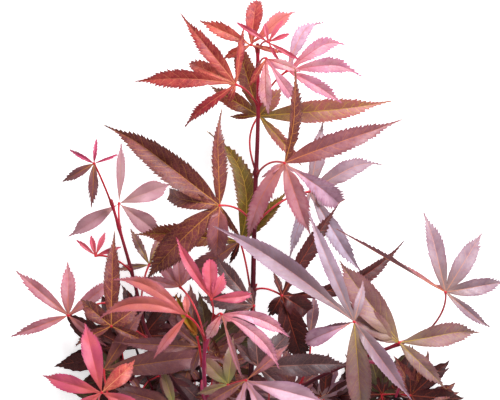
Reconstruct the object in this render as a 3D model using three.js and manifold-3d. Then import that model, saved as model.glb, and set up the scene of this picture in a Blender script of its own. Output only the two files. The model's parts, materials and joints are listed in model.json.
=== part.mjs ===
// A leafy branch cut from a young red Japanese maple, lying on its back on a flat surface.
// Millimetres, +Z up off the surface, +Y from the cut foot towards the growing tip, +X to the right.
// A stem is one tapering limb. A leaf is one thin palmate blade with its stalk. Where the side
// shoots crowd together under the front leaves, the foliage is a few uneven masses.
import * as THREE from "three";
import { mergeVertices } from "three/addons/utils/BufferGeometryUtils.js";
import Module from "manifold-3d";

// ---- Driving dimensions ----
const SEAT_GAP = 0.3; // between a stalk or shoot and the limb that carries it
const STALK_RADIUS = 0.65;
const LOBE_FOLD = 14; // degrees that each half of a lobe rises from its midrib
const OUTER_LOBE = 0.5; // natural length of the outermost lobes, as a share of the middle one
const BLADE_SLIM = 0.088; // half width of a mature lobe, as a share of its length
const MOST_DROP = 0.36; // how far a lobe's tip may turn down, as a share of its reach
const HUB_RADIUS = 1.5; // the knot where the lobes and the stalk meet
const PRESS = 4; // how softly a drooping lobe comes to rest along the surface
const LIMB_SIDES = 8;
const LIMB_STEP = 16; // spacing of the rings along a limb

// A lobe's outline: its half width, as a share of the widest, at shares of its length.
const LOBE_STATIONS = [
  [0.13, 0.3],
  [0.3, 0.66],
  [0.5, 1],
  [0.7, 0.84],
  [0.86, 0.42],
];

// The finishes: colour, and how rough the surface is.
const FINISHES = {
  bark: [0x3a1426, 0.5],
  young_bark: [0xb0305a, 0.5],
  coral: [0xd2555a, 0.5],
  rose: [0xdd8aa0, 0.5],
  magenta: [0xc23a62, 0.5],
  burgundy: [0x6b2f3a, 0.45],
  mauve: [0x9a7684, 0.4],
  olive: [0x75542f, 0.5],
  dark: [0x452028, 0.45],
  shade: [0x553036, 0.6],
};

// ---- Limbs: points of the centre line, and the radius at the foot and at the tip ----
// from and at: the limb that carries it, and where along it. into: the mass that it ends at.
const LIMBS = {
  leader: {
    finish: "bark",
    radii: [1.6, 0.9],
    path: [
      [-10, -52, 2], [-6, -22, 14], [-2.5, 12, 27], [-1.5, 55, 38],
      [-0.5, 100, 43], [1, 140, 43], [0.8, 178, 42],
    ],
  },
  left_shoot: {
    finish: "bark",
    radii: [1.3, 0.7],
    from: "leader",
    at: 0.12,
    path: [[-34, -2, 20], [-53, 28, 26], [-62, 62, 29], [-73, 100, 30]],
  },
  right_shoot: {
    finish: "bark",
    radii: [1.35, 0.8],
    from: "leader",
    at: 0.16,
    path: [[16, 1, 27], [38, 14, 33], [60, 23, 35], [88, 34, 34]],
  },
  front_shoot: {
    finish: "young_bark",
    radii: [1.2, 0.8],
    from: "leader",
    at: 0.1,
    path: [[-19, -18, 36], [-25, 4, 55], [-25, 28, 68], [-20, 43, 75]],
  },
  low_left_shoot: {
    finish: "young_bark",
    radii: [1.2, 0.7],
    from: "leader",
    at: 0.05,
    path: [[-34, -38, 22], [-62, -22, 42], [-78, -4, 56]],
  },
  low_left_twig: {
    finish: "young_bark",
    radii: [1, 0.7],
    from: "left_shoot",
    at: 0.3,
    path: [[-57, 20, 22]],
    into: "low_left_mass",
  },
  low_middle_twig: {
    finish: "young_bark",
    radii: [1, 0.7],
    from: "left_shoot",
    at: 0.14,
    path: [[-28, 6, 18]],
    into: "low_middle_mass",
  },
  low_right_twig: {
    finish: "young_bark",
    radii: [1, 0.7],
    from: "right_shoot",
    at: 0.06,
    path: [[17, -6, 21]],
    into: "low_right_mass",
  },
  side_right_twig: {
    finish: "young_bark",
    radii: [1, 0.7],
    from: "right_shoot",
    at: 0.66,
    path: [[72, 14, 27]],
    into: "side_right_mass",
  },
  foot_left_twig: {
    finish: "young_bark",
    radii: [1, 0.7],
    from: "low_left_shoot",
    at: 0.2,
    path: [[-37, -40, 17]],
    into: "foot_left_mass",
  },
};

// ---- Leaves ----
// limb and at: where the stalk leaves. hub: where the lobes meet. size: the middle lobe's natural
// length. lobes, in turn round the hub: heading in degrees from +X towards +Y, how far the tip
// reaches across the surface, a roll about the midrib where the lobe stands on edge, and how far
// it bows to its left, as a share of its length. A lobe that reaches less than its natural length
// turns down towards the surface. sway: how far the stalk swings out towards +X on its way.
const LEAVES = {
  crown: {
    finish: "coral", limb: "leader", at: 0.985, hub: [-2.5, 177, 50], size: 33, slim: 0.13,
    lobes: [[205, 15], [154, 28], [84, 22], [42, 27], [-14, 16]],
  },
  left_red: {
    finish: "coral", limb: "leader", at: 0.87, hub: [-10, 157, 58], size: 50, slim: 0.09,
    lobes: [
      [247, 10], [216, 32, 0, 0.05], [179, 49, 0, -0.1], [154, 25], [129, 44, 0, 0.04], [83, 29, 35],
    ],
  },
  right_rose: {
    finish: "rose", limb: "leader", at: 0.87, hub: [15.5, 164, 52], size: 38, slim: 0.105,
    lobes: [[-31, 31], [4, 36], [33, 32], [64, 30], [150, 10]],
  },
  front_rose: {
    finish: "rose", limb: "leader", at: 0.95, hub: [5, 170, 60], size: 27, slim: 0.12,
    lobes: [[238, 16], [272, 27], [304, 22], [340, 18]],
  },
  tip_tuft: {
    finish: "magenta", limb: "leader", at: 0.985, hub: [6, 178, 61], size: 18, slim: 0.08,
    lobes: [[-62, 10], [-30, 17], [22, 11], [57, 13], [100, 9], [148, 18]],
  },
  olive_behind: {
    finish: "olive", limb: "leader", at: 0.73, hub: [1.5, 142, 34], size: 60, slim: 0.088, sway: -8,
    lobes: [[-48, 32], [5.5, 63, 0, -0.02], [52, 18], [107, 40], [149, 28], [182, 14]],
  },
  right_hand: {
    finish: "burgundy", limb: "leader", at: 0.725, hub: [14, 118, 68], size: 60, slim: 0.105,
    lobes: [
      [214, 13, 30], [248, 42, 0, -0.08], [289, 37], [326, 33], [379, 61, 0, 0.03], [444, 44, 30, -0.2],
    ],
  },
  right_grey: {
    finish: "mauve", limb: "leader", at: 0.62, hub: [27, 104, 32], size: 52,
    lobes: [[252, 34], [301, 48], [340, 16], [387, 38, 0, 0.05], [440, 36, 25]],
  },
  left_hand: {
    finish: "burgundy", limb: "leader", at: 0.62, hub: [-18, 97, 66], size: 66, slim: 0.1,
    lobes: [[92, 47, 25], [142, 69], [171, 25], [226, 52, 0, -0.06], [266, 27], [302, 19, 40]],
  },
  olive_left: {
    finish: "olive", limb: "leader", at: 0.47, hub: [-8, 79, 36], size: 56, slim: 0.1,
    lobes: [[46, 34], [101, 52, 10, -0.16], [174, 52], [214, 36], [246, 12]],
  },
  right_dark: {
    finish: "dark", limb: "leader", at: 0.48, hub: [13, 52, 40], size: 60, slim: 0.1,
    lobes: [
      [240, 12], [287, 36], [328, 15], [385, 66, 20, -0.16], [418, 53, 20, 0.04], [470, 12, 30],
    ],
  },
  right_front: {
    finish: "mauve", limb: "right_shoot", at: 0.6, hub: [48, 40, 84], size: 74, slim: 0.075,
    lobes: [[75, 20], [113, 58], [145, 82, 0, -0.06], [202, 25], [275, 50], [306, 47]],
  },
  right_olive: {
    finish: "mauve", limb: "right_shoot", at: 0.84, hub: [71, 29, 60], size: 54, slim: 0.12,
    lobes: [[-44, 32], [10, 40], [127, 49], [144, 33], [158, 20]],
  },
  far_right: {
    finish: "mauve", limb: "right_shoot", at: 0.985, hub: [94, 54, 58], size: 60, slim: 0.08,
    lobes: [[-40, 28], [10, 30], [58, 34], [103, 40], [150, 61, 50]],
  },
  low_right: {
    finish: "dark", limb: "right_shoot", at: 0.12, hub: [1, 17, 64], size: 42, slim: 0.12,
    lobes: [[-38, 26], [3, 46], [48, 23], [95, 20], [132, 16]],
  },
  front_low: {
    finish: "rose", limb: "front_shoot", at: 0.5, hub: [-5, 11, 76], size: 42, slim: 0.11,
    lobes: [[210, 26], [255, 32], [300, 36], [345, 40], [400, 26]],
  },
  front_left: {
    finish: "coral", limb: "front_shoot", at: 0.86, hub: [-34, 43, 82], size: 42, slim: 0.085,
    lobes: [[92, 10], [151, 40, 0, -0.06], [180, 43, 0, -0.14], [231, 26]],
  },
  front_top: {
    finish: "magenta", limb: "front_shoot", at: 0.985, hub: [-22, 51, 84], size: 33, slim: 0.11,
    lobes: [[5, 19], [62, 14], [93, 19], [122, 34]],
  },
  front_middle: {
    finish: "rose", limb: "front_shoot", at: 0.985, hub: [-17, 44, 90], size: 38, slim: 0.085,
    lobes: [[240, 14], [287, 33], [318, 38, 0, 0.1], [340, 34, 0, 0.12]],
  },
  front_across: {
    finish: "mauve", limb: "front_shoot", at: 0.55, hub: [-28, 27, 62], size: 44, slim: 0.08,
    lobes: [[140, 18], [177, 42], [252, 14]],
  },
  corner: {
    finish: "coral", limb: "low_left_shoot", at: 0.985, hub: [-76, 5, 76], size: 38, slim: 0.13,
    lobes: [[-22, 26], [42, 22], [104, 34], [165, 30], [214, 24]],
  },
  left_upright: {
    finish: "burgundy", limb: "left_shoot", at: 0.5, hub: [-72, 37, 52], size: 48, slim: 0.1,
    lobes: [[-24, 20], [36, 17], [89, 46], [140, 20], [205, 20]],
  },
  left_edge: {
    finish: "mauve", limb: "left_shoot", at: 0.62, hub: [-94, 42, 40], size: 42,
    lobes: [[-40, 24], [38, 30], [90, 26], [140, 34], [200, 30]],
  },
  left_far: {
    finish: "rose", limb: "left_shoot", at: 0.9, hub: [-69, 98, 24], size: 40, slim: 0.13,
    lobes: [[88, 30, 30], [21, 27], [-37, 25], [-146, 30]],
  },
  left_top: {
    finish: "burgundy", limb: "left_shoot", at: 0.985, hub: [-81, 118, 42], size: 30,
    lobes: [[20, 12], [84, 12], [150, 14], [210, 18], [268, 21]],
  },
  left_tuft: {
    finish: "magenta", limb: "left_shoot", at: 0.75, hub: [-80, 72, 46], size: 16, slim: 0.09,
    lobes: [[20, 13], [68, 12], [104, 10], [140, 12]],
  },
  left_olive: {
    finish: "olive", limb: "left_shoot", at: 0.62, hub: [-54, 67, 14], size: 26,
    lobes: [[20, 16], [68, 18], [118, 20], [188, 17]],
  },
  left_fan: {
    finish: "dark", limb: "front_shoot", at: 0.84, hub: [-38, 56, 34], size: 24, slim: 0.14,
    lobes: [[60, 14], [95, 16], [130, 18], [165, 18]],
  },
  mid_left: {
    finish: "dark", limb: "leader", at: 0.42, hub: [-1, 47, 48], size: 36, slim: 0.12,
    lobes: [[104, 10], [130, 31], [172, 27], [205, 18]],
  },
  left_low: {
    finish: "mauve", limb: "low_left_shoot", at: 0.8, hub: [-76, 15, 46], size: 38, slim: 0.1,
    lobes: [[8, 61], [57, 36], [112, 22]],
  },
  low_green: {
    finish: "olive", limb: "front_shoot", at: 0.35, hub: [-14, 8, 58], size: 26, slim: 0.15,
    lobes: [[83, 23], [134, 19], [196, 15]],
  },
  low_middle: {
    finish: "mauve", limb: "front_shoot", at: 0.2, hub: [-41, -3, 44], size: 34, slim: 0.13,
    lobes: [[107, 20], [164, 30], [215, 22]],
  },
  side_right: {
    finish: "mauve", limb: "right_shoot", at: 0.34, hub: [27, 31.5, 31], size: 30, slim: 0.1,
    lobes: [[18, 22], [82, 20], [200, 10]],
  },
  young_green: {
    finish: "olive", limb: "front_shoot", at: 0.72, hub: [-29, 32, 70], size: 24, slim: 0.09,
    lobes: [[108, 8], [117, 23], [126, 8]],
  },
};

// ---- Masses of foliage: centre, half extents, and which way their lumps fall ----
const MASSES = {
  low_left_mass: { centre: [-60, 14, 9], half: [20, 24, 8], phase: 0.4 },
  low_middle_mass: { centre: [-26, 14, 8], half: [12, 22, 6], phase: 2.1 },
  low_right_mass: { centre: [30, -14, 9], half: [21, 20, 8], phase: 3.7 },
  side_right_mass: { centre: [70, -8, 10], half: [15, 16, 8], phase: 5.2 },
  foot_left_mass: { centre: [-44, -44, 7], half: [24, 16, 6], phase: 1.3 },
};
const MASS_DETAIL = 1;
const LUMP = 0.13; // how far the lumps stand out, as a share of the radius

const wasm = await Module();
wasm.setup();

const radians = THREE.MathUtils.degToRad;
const vec = (p) => new THREE.Vector3(...p);

// A drooping point comes to rest just above the surface instead of passing through it.
const pressed = (z) => (z + Math.hypot(z, PRESS)) / 2;

/** The closed shell over a chain of rings, with a single point at either end or a flat cap. */
function shellOf(rings, foot, tip) {
  const sides = rings[0].length;
  const points = rings.flat();
  const faces = [];
  for (let r = 0; r + 1 < rings.length; r++) {
    for (let s = 0; s < sides; s++) {
      const a = r * sides + s;
      const b = r * sides + ((s + 1) % sides);
      faces.push([a, b, b + sides], [a, b + sides, a + sides]);
    }
  }
  const close = (first, end, outward) => {
    const at = points.length;
    points.push(end ?? centreOf(rings[first / sides]));
    for (let s = 0; s < sides; s++) {
      const a = first + s;
      const b = first + ((s + 1) % sides);
      faces.push(outward ? [a, b, at] : [b, a, at]);
    }
  };
  close(0, foot, false);
  close((rings.length - 1) * sides, tip, true);
  const geometry = new THREE.BufferGeometry();
  geometry.setAttribute("position", new THREE.Float32BufferAttribute(points.flatMap((p) => p.toArray()), 3));
  geometry.setIndex(faces.flat());
  return geometry;
}

const centreOf = (ring) => ring.reduce((sum, p) => sum.add(p), new THREE.Vector3()).divideScalar(ring.length);

/** A tapering limb along a smooth curve, square cut at its foot. */
function limbOf(curve, radii) {
  const steps = Math.max(3, Math.round(curve.getLength() / LIMB_STEP));
  const frames = curve.computeFrenetFrames(steps);
  const rings = [];
  for (let k = 0; k <= steps; k++) {
    const centre = curve.getPointAt(k / steps);
    const radius = THREE.MathUtils.lerp(radii[0], radii[1], k / steps);
    rings.push(circle(centre, frames.normals[k], frames.binormals[k], radius, LIMB_SIDES));
  }
  return shellOf(rings);
}

function circle(centre, normal, binormal, radius, sides) {
  return Array.from({ length: sides }, (_, s) => {
    const angle = (2 * Math.PI * s) / sides;
    return centre
      .clone()
      .addScaledVector(normal, radius * Math.cos(angle))
      .addScaledVector(binormal, radius * Math.sin(angle));
  });
}

/** One lobe: a three-cornered blade whose keel is the midrib, running from the hub to a sharp tip. */
function lobeOf(hub, [heading, reach, roll = 0, sickle = 0], natural, slim) {
  const angle = radians(heading);
  const out = new THREE.Vector3(Math.cos(angle), Math.sin(angle), 0);
  const side = new THREE.Vector3(-Math.sin(angle), Math.cos(angle), 0);
  const length = Math.max(natural, reach * 1.03);
  const spare = Math.sqrt(Math.max(0, (0.96 * length) ** 2 - reach ** 2));
  const drop = THREE.MathUtils.clamp(spare, 0.1 * length, Math.max(0.1 * length, MOST_DROP * reach));
  const turn = Math.min(1, drop / length);
  const bend = hub
    .clone()
    .addScaledVector(out, reach * (0.52 + 0.4 * turn))
    .addScaledVector(side, sickle * length);
  bend.z += 0.1 * length - 0.22 * drop;
  const tip = hub.clone().addScaledVector(out, reach);
  tip.z -= drop;
  const midrib = new THREE.QuadraticBezierCurve3(hub, bend, tip);
  const fold = radians(LOBE_FOLD);
  const rings = LOBE_STATIONS.map(([t, share]) => {
    const half = share * slim * length;
    const along = midrib.getTangent(t);
    const up = new THREE.Vector3().crossVectors(along, side).normalize();
    const across = side.clone().applyAxisAngle(along, radians(roll));
    up.applyAxisAngle(along, radians(roll));
    const keel = midrib.getPoint(t);
    const edge = (sign) =>
      keel
        .clone()
        .addScaledVector(across, sign * half * Math.cos(fold))
        .addScaledVector(up, half * Math.sin(fold));
    return [edge(-1), keel, edge(1)];
  });
  return shellOf(settle(rings), hub.clone(), settle([[tip]])[0][0]);
}

/** Presses every ring's points to the surface, the keel lowest so that the blade keeps its depth. */
function settle(rings) {
  return rings.map((ring) => ring.map((p) => new THREE.Vector3(p.x, p.y, pressed(p.z))));
}

/** A leaf stalk: a square rod that bows from its pointed seat on the limb to the hub. */
function stalkOf(seat, hub, lean, sway) {
  const bend = seat.clone().lerp(hub, 0.4).addScaledVector(lean, 0.22 * seat.distanceTo(hub));
  bend.x += sway;
  const curve = new THREE.QuadraticBezierCurve3(seat, bend, hub);
  const steps = 4;
  const frames = curve.computeFrenetFrames(steps);
  const rings = [];
  for (let k = 1; k <= steps; k++) {
    rings.push(circle(curve.getPoint(k / steps), frames.normals[k], frames.binormals[k], STALK_RADIUS, 4));
  }
  return shellOf(rings, seat);
}

function solidOf(geometry) {
  const bare = new THREE.BufferGeometry();
  bare.setAttribute("position", geometry.getAttribute("position"));
  if (geometry.index) bare.setIndex(geometry.index);
  const merged = mergeVertices(bare, 1e-4);
  return new wasm.Manifold(
    new wasm.Mesh({
      numProp: 3,
      vertProperties: new Float32Array(merged.attributes.position.array),
      triVerts: new Uint32Array(merged.index.array),
    }),
  );
}

function geometryOf(solid) {
  const mesh = solid.getMesh();
  const geometry = new THREE.BufferGeometry();
  geometry.setAttribute("position", new THREE.BufferAttribute(mesh.vertProperties, mesh.numProp));
  geometry.setIndex(new THREE.BufferAttribute(mesh.triVerts, 1));
  return geometry;
}

/** The lobes, the stalk and the knot between them, joined into one solid. */
function leafOf(leaf, limb) {
  const hub = vec(leaf.hub);
  const middle = (leaf.lobes.length - 1) / 2;
  const parts = leaf.lobes.map((lobe, i) => {
    const outward = Math.abs(i - middle) / middle;
    const natural = leaf.size * (1 - (1 - OUTER_LOBE) * outward ** 2);
    return lobeOf(hub, lobe, natural, leaf.slim ?? BLADE_SLIM);
  });
  const knot = new THREE.OctahedronGeometry(HUB_RADIUS).rotateX(0.3).rotateY(0.4);
  knot.translate(hub.x, hub.y, pressed(hub.z) - 0.4);
  const foot = limb.curve.getPointAt(leaf.at);
  const away = hub.clone().sub(foot);
  const along = limb.curve.getTangentAt(leaf.at);
  away.addScaledVector(along, -away.dot(along)).normalize();
  const girth = THREE.MathUtils.lerp(limb.radii[0], limb.radii[1], leaf.at);
  const seat = foot.clone().addScaledVector(away, girth + SEAT_GAP);
  const inside = hub.clone().setZ(pressed(hub.z) - 0.4);
  parts.push(stalkOf(seat, inside, along, leaf.sway ?? 0));
  return parts.map(solidOf).reduce((whole, part) => whole.add(part), solidOf(knot));
}

/** The point of a mass's surface that lies in the direction d from its centre. */
function onMass({ centre, half, phase }, d) {
  const lump = Math.sin(3.1 * d.x + phase) + Math.sin(2.7 * d.y + 2 * phase) * Math.cos(3.3 * d.z + phase);
  const point = d.clone().multiplyScalar(1 + LUMP * lump).multiply(vec(half)).add(vec(centre));
  return point.setZ(pressed(point.z));
}

/** An uneven, rather flat lump of foliage. */
function massOf(mass) {
  const ball = mergeVertices(bareOf(new THREE.IcosahedronGeometry(1, MASS_DETAIL)), 1e-4);
  const place = ball.getAttribute("position");
  const d = new THREE.Vector3();
  for (let i = 0; i < place.count; i++) {
    d.fromBufferAttribute(place, i);
    place.setXYZ(i, ...onMass(mass, d).toArray());
  }
  return ball;
}

/** The end of a twig that comes from the point last: just clear of the mass it leads into. */
function endAt(mass, last) {
  const toward = last.clone().sub(vec(mass.centre)).divide(vec(mass.half)).normalize();
  const surface = onMass(mass, toward);
  const back = last.clone().sub(surface).normalize();
  return surface.addScaledVector(back, SEAT_GAP);
}

function bareOf(geometry) {
  const bare = new THREE.BufferGeometry();
  bare.setAttribute("position", geometry.getAttribute("position"));
  return bare;
}

// ---- The branch ----
const branch = new THREE.Group();

function addPiece(name, geometry, finish) {
  const [color, roughness] = FINISHES[finish];
  const piece = new THREE.Mesh(geometry, new THREE.MeshStandardMaterial({ color, roughness, metalness: 0 }));
  piece.name = name;
  branch.add(piece);
}

const limbs = {};
for (const [name, limb] of Object.entries(LIMBS)) {
  const path = limb.path.map(vec);
  if (limb.from) {
    const carrier = limbs[limb.from];
    const foot = carrier.curve.getPointAt(limb.at);
    const girth = THREE.MathUtils.lerp(carrier.radii[0], carrier.radii[1], limb.at);
    const along = carrier.curve.getTangentAt(limb.at);
    const away = path[0].clone().sub(foot).normalize();
    const slope = away.dot(along);
    away.addScaledVector(along, -slope).normalize();
    path.unshift(foot.addScaledVector(away, girth + limb.radii[0] * Math.abs(slope) + SEAT_GAP));
  }
  if (limb.into) path.push(endAt(MASSES[limb.into], path.at(-1)));
  limbs[name] = { curve: new THREE.CatmullRomCurve3(path), radii: limb.radii };
  addPiece(name, limbOf(limbs[name].curve, limb.radii), limb.finish);
}
for (const [name, leaf] of Object.entries(LEAVES)) {
  addPiece("leaf_" + name, geometryOf(leafOf(leaf, limbs[leaf.limb])), leaf.finish);
}
for (const [name, mass] of Object.entries(MASSES)) {
  addPiece(name, massOf(mass), "shade");
}

// The origin is on the surface, under the middle of the branch.
const box = new THREE.Box3().setFromObject(branch);
const middle = box.getCenter(new THREE.Vector3());
branch.position.set(-middle.x, -middle.y, -box.min.z);

export default branch;
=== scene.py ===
# %% [markdown]
# # A cut branch of a red Japanese maple
#
# The branch lies on its back on a pale surface, under a camera that looks straight down on it. A
# dark purple leader carries pairs of palmate leaves, each on a thin red stalk. Young leaves at the
# tip are coral and rose, grown ones burgundy, mauve or olive. Low down, side shoots crowd together.
#
# The frame gives every stem and every leaf as a plain solid. This script reads the shape of each one
# from its solid and models the real surface there: toothed, folded and veined blades, round stalks,
# bark with swollen nodes, and small leaves on twigs in place of the masses of foliage.

# %% Load the frame
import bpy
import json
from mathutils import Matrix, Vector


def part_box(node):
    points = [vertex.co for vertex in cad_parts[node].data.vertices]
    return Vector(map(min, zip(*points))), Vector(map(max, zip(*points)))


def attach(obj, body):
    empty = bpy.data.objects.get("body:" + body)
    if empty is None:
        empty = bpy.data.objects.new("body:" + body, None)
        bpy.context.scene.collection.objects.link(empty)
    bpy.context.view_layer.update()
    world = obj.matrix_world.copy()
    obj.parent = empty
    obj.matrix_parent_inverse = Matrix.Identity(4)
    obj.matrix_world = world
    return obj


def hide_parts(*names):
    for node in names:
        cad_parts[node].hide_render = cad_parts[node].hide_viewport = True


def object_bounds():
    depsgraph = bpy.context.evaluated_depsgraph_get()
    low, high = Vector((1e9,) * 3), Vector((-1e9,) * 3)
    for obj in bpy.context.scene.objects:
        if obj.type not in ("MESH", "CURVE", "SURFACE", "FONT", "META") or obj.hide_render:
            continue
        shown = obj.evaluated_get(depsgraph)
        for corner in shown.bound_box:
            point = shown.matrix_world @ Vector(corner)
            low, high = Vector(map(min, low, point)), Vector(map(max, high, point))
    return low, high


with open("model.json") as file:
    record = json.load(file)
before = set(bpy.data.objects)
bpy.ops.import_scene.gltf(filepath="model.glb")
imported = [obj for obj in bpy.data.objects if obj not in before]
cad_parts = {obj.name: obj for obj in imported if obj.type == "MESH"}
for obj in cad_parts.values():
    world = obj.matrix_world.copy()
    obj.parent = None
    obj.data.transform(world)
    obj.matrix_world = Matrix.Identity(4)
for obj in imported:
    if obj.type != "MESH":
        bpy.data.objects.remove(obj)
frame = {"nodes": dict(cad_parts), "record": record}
cad_box = [list(corner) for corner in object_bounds()]

import json
from math import cos, pi, radians, sin, tan

import bpy
import numpy as np
from mathutils import Vector

MM = 0.001
SLOT_OF = {part["node"]: part["material_slot"] for part in frame["record"]["subparts"]}
LEAF_NODES = [name for name in sorted(frame["nodes"]) if name.startswith("leaf_")]
MASS_NODES = [name for name in sorted(frame["nodes"]) if name.endswith("_mass")]
LIMB_NODES = [name for name in sorted(frame["nodes"]) if name not in LEAF_NODES + MASS_NODES]
print(len(LEAF_NODES), "leaves,", len(LIMB_NODES), "limbs,", len(MASS_NODES), "masses")

# %% [markdown]
# ## Reading a solid
#
# Each solid comes as loose triangles. Joining the corners that share a place gives a net in which a
# limb is a row of rings of eight corners, a stalk a row of rings of four, and a lobe a row of rings
# of three: right edge, midrib, left edge. Starting from the single point that closes one end, the
# neighbours of the last ring that haven't been met yet are the next ring.

# %% Corners, neighbours and rings
SAME_PLACE = 2e-6  # m; corners that round to the same multiples of it are one


def net_of(node):
    """A solid's shared corners (n x 3), and for each corner the set of its neighbours."""
    mesh = frame["nodes"][node].data
    corners = np.empty(3 * len(mesh.vertices), np.float32)
    mesh.vertices.foreach_get("co", corners)
    corners = corners.reshape(-1, 3).astype(float)
    corner_of = np.empty(len(mesh.loops), np.int32)
    mesh.loops.foreach_get("vertex_index", corner_of)
    grid = np.round(corners / SAME_PLACE)
    _, first, shared = np.unique(grid, axis=0, return_index=True, return_inverse=True)
    near = [set() for _ in first]
    for a, b, c in shared.ravel()[corner_of].reshape(-1, 3):
        near[a] |= {b, c}
        near[b] |= {a, c}
        near[c] |= {a, b}
    for corner, around in enumerate(near):
        around.discard(corner)
    return corners[first], near


def rings_from(end, near, size):
    """The rings of the given size that follow one another from a corner that closes an end."""
    met, ring, rings = {end}, near[end], []
    while len(ring) == size:
        rings.append(sorted(ring))
        met |= ring
        ring = set().union(*(near[corner] for corner in ring)) - met
    return rings


def unit(v):
    """The vectors along the last axis, each divided by its length."""
    return v / np.linalg.norm(v, axis=-1, keepdims=True)


# %% [markdown]
# ## The plan of a leaf
#
# A lobe's midrib runs through the keels of its rings, at fixed shares of its length, and all
# midribs meet in one hub. A polynomial through the keels gives the hub when it is carried back to
# the foot of the lobe, and the median over the lobes makes it one point. What is kept of a lobe is
# short: the polynomial of its midrib, the direction across it, and its half width.

# %% Read the lobes and the stalk of every leaf
RING_AT = np.array([0.86, 0.7, 0.5, 0.3])  # shares of a lobe's length, from the tip inwards
STALK_AT = np.array([0.0, 0.25, 0.5, 0.75])
THIRD_RING_WIDER = 1.19  # than the second ring, on every lobe
SEAT = 0.65 * MM  # from the middle to the corners of the ring at the foot of every stalk
SEAT_SLACK = 0.02 * MM


def ordered(three, across):
    """A ring's corners from the right edge to the left one, by how far each lies along across."""
    return three[np.argsort(three @ across)]


def read_lobe(points, tip, rings):
    """Keels from the tip inwards, the direction across, and the half width of the widest ring."""
    ring = points[rings[0]]
    keel = np.argmin([np.linalg.norm(ring - corner, axis=1).sum() for corner in ring])
    along = points[tip] - ring[keel]
    up = np.delete(ring, keel, axis=0).mean(0) - ring[keel]
    across = unit(np.cross(up, along))
    keels = [points[tip]]
    for at, corners in enumerate(rings[:4]):
        ring = ordered(points[corners], across)
        across = unit(ring[2] - ring[0])
        keels.append(ring[1])
        if at <= 2:
            widest = ring
    half = (np.linalg.norm(widest[0] - widest[1]) + np.linalg.norm(widest[2] - widest[1])) / 2
    half *= 1 if len(rings) > 2 else THIRD_RING_WIDER
    return {"keels": np.array(keels), "across": unit(widest[2] - widest[0]), "half": half}


def through(at, places, degree):
    """The coefficients, lowest first, of the polynomial of this degree that fits the places."""
    return np.polyfit(at, places, degree)[::-1]


def read_leaf(node):
    """The plan of one leaf: its hub, its lobes in turn round the hub, and its stalk's course."""
    points, near = net_of(node)
    lobes = []
    for end, around in enumerate(near):
        if len(around) == 3 and len(rings_from(end, near, 3)) >= 2:
            lobes.append(read_lobe(points, end, rings_from(end, near, 3)))
    at = np.concatenate([[1.0], RING_AT])
    hubs = [through(at[:4], lobe["keels"][:4], 2)[0] for lobe in lobes if len(lobe["keels"]) > 3]
    hub = np.median(hubs, axis=0)
    for lobe in lobes:
        known = len(lobe["keels"])
        lobe["midrib"] = through(np.append(at[:known], 0), np.vstack([lobe["keels"], hub]), known)
    lobes.sort(key=lambda lobe: np.arctan2(*(lobe["keels"][-1] - hub)[1::-1]))
    ends = [end for end, around in enumerate(near) if len(around) == 4]
    foot = next(end for end in ends if is_seat(points[list(near[end])]))
    rings = rings_from(foot, near, 4)[:3]
    course = np.array([points[foot], *(points[ring].mean(0) for ring in rings)])
    stalk = through(STALK_AT[: len(course)], course, 2)
    short = node.replace("leaf_", "")
    return {"name": node, "short": short, "hub": hub, "lobes": lobes, "stalk": stalk}


def is_seat(ring):
    """True for the small square ring next to the pointed foot of a stalk."""
    spread = np.linalg.norm(ring - ring.mean(0), axis=1)
    return abs(spread.mean() - SEAT) < SEAT_SLACK and np.ptp(spread) < SEAT_SLACK


leaves = [read_leaf(node) for node in LEAF_NODES]
print("lobes read:", {leaf["name"]: len(leaf["lobes"]) for leaf in leaves})

# %% [markdown]
# ## Closed skins
#
# Blades, stalks, twigs and bark are all the same kind of surface: rings carried along a path, with
# a point at either end. A grid of quads joins each ring to the next, and a fan of triangles closes
# each end, so there is no seam and no hole. A skin is gathered with others into one mesh, and takes
# its finish and its own coordinates along, which the materials read.

# %% Skins, and the mesh they are gathered into
SHARP = 40  # degrees; a skin is smooth except where faces meet at more


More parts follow.
